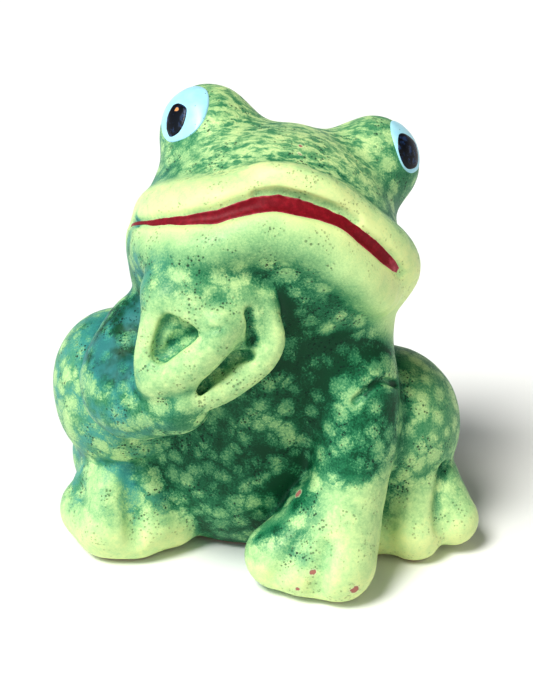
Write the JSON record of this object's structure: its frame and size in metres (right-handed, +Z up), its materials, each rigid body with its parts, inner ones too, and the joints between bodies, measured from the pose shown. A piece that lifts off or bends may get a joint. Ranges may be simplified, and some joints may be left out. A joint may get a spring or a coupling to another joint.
{
  "type": "seated thinking frog figurine",
  "caption": "Hollow earthenware frog seated with one hand at its chin and the other planted in front, with raised eyes, spread toes and a vented base slab.",
  "frame": {"origin": "The table plane under the figure, at z = 0, midway between the knees to within 2 mm.", "axes": "+Z is up. The figure faces -Y. The figure's own left side is at +X, and its raised right hand is at -X."},
  "size_m": [0.0844, 0.0641, 0.0904],
  "materials": {
    "leaf_glaze": "satin, sponged green over yellow-green",
    "pond_glaze": "satin, dark blue-green sponged network with light islands",
    "pale_glaze": "satin, pale yellow-green",
    "bisque": "matt, bare fired clay",
    "eye_enamel": "gloss, pale blue brush-on enamel",
    "ink_enamel": "gloss, near-black brush-on enamel",
    "lip_enamel": "satin, deep red brush-on enamel"
  },
  "bodies": {
    "root": {"trunk_shell": "pond_glaze", "base_slab": "bisque", "head_shell": "leaf_glaze", "raised_arm": "pond_glaze", "raised_hand": "pale_glaze", "planted_arm": "leaf_glaze", "planted_hand": "pale_glaze", "right_hind_leg": "pond_glaze", "left_hind_leg": "pond_glaze", "right_hind_foot": "pale_glaze", "left_hind_foot": "pale_glaze", "right_eye_mound": "leaf_glaze", "left_eye_mound": "leaf_glaze", "right_eye_white": "eye_enamel", "left_eye_white": "eye_enamel", "right_pupil": "ink_enamel", "left_pupil": "ink_enamel", "mouth_line": "lip_enamel"}
  },
  "joints": []
}
